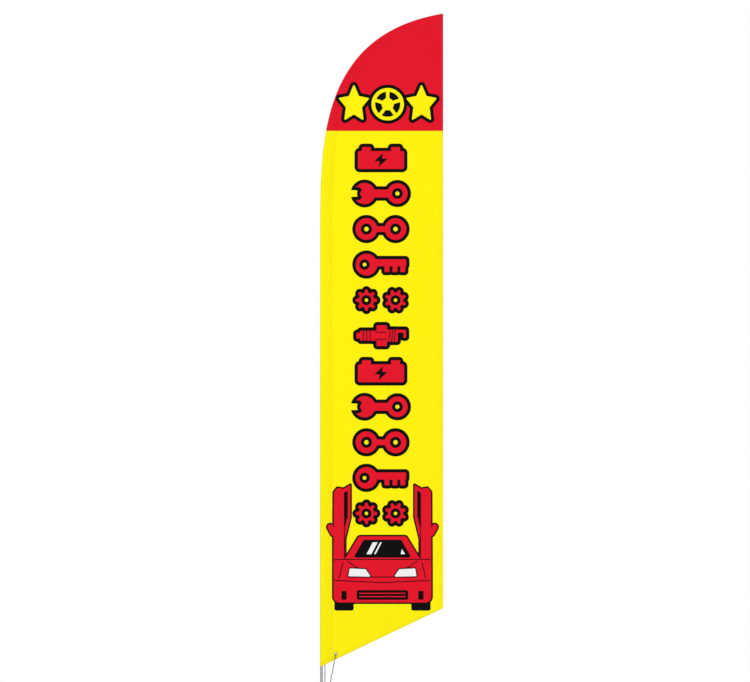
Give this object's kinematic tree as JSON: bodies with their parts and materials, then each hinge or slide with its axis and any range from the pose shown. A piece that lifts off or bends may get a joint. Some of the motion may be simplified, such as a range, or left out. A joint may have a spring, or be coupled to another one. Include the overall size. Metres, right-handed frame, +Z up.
{
  "type": "feather flag with pole",
  "caption": "Tall curved sleeve flag on a push-fit bending pole with a rotating ground spike and elastic tie-down.",
  "frame": {"origin": "where the pole's axis meets the ground", "axes": "+Z up along the pole, +X from the pole to the flag's free edge, so the printed front faces -Y"},
  "size_m": [0.7048, 0.12, 4.8312],
  "materials": {
    "galvanised_steel": "galvanised, dull",
    "bright_steel": "turned",
    "aluminium_tube": "satin anodised",
    "fibreglass": "pultruded fibreglass, black, semi-gloss",
    "nylon": "natural nylon",
    "black_plastic": "moulded",
    "rubber": "matt",
    "brass": "rolled",
    "flag_cloth": "dye-printed polyester knit, yellow and red with black outlines",
    "webbing": "woven polyester webbing",
    "elastic": "braided cover"
  },
  "bodies": {
    "ground_spike": {"spike_shaft": "galvanised_steel", "spike_fins": "galvanised_steel", "foot_plate": "galvanised_steel", "axle": "bright_steel", "thrust_washer": "bright_steel", "retaining_washer": "bright_steel", "retaining_clip": "bright_steel"},
    "rotator": {"rotator_sleeve": "black_plastic", "lower_bush": "nylon", "upper_bush": "nylon", "lower_o_ring": "rubber", "upper_o_ring": "rubber", "rotator_cap": "black_plastic"},
    "pole_bottom": {"pole_section_1": "aluminium_tube"},
    "pole_second": {"pole_section_2": "aluminium_tube", "stop_ring_2": "aluminium_tube"},
    "pole_top": {"pole_section_3": "fibreglass", "stop_ring_3": "aluminium_tube", "rim_ferrule": "aluminium_tube", "stop_ring_4": "black_plastic", "pole_tip_rod": "fibreglass", "tip_cap": "rubber", "tip_pocket": "webbing", "flag_panel": "flag_cloth", "pole_sleeve": "flag_cloth", "corner_patch": "webbing", "grommet_eyelet": "brass", "grommet_washer": "brass", "elastic_loop": "elastic"},
    "tie_collar": {"hook_collar": "black_plastic"},
    "collar_screw": {"thumb_screw": "black_plastic"}
  },
  "joints": [
    {"name": "rotator_spin", "type": "hinge", "parent": "ground_spike", "child": "rotator", "pos_m": [0, 0, 0.14], "axis": [0, 0, 1], "continuous": true},
    {"name": "pole_lift", "type": "slide", "parent": "rotator", "child": "pole_bottom", "axis": [0, 0, 1], "range_m": [0, 0.25]},
    {"name": "section_2_pull", "type": "slide", "parent": "pole_bottom", "child": "pole_second", "axis": [0, 0, 1], "range_m": [0, 0.11]},
    {"name": "section_3_pull", "type": "slide", "parent": "pole_second", "child": "pole_top", "axis": [0, 0, 1], "range_m": [0, 0.11]},
    {"name": "collar_slide", "type": "slide", "parent": "pole_bottom", "child": "tie_collar", "axis": [0, 0, 1], "range_m": [0, 0.06], "deforming": ["elastic_loop"]},
    {"name": "screw_turn", "type": "hinge", "parent": "tie_collar", "child": "collar_screw", "pos_m": [0, 0.03, 0.70408], "axis": [0, 1, 0], "range_deg": [0, 360]}
  ]
}
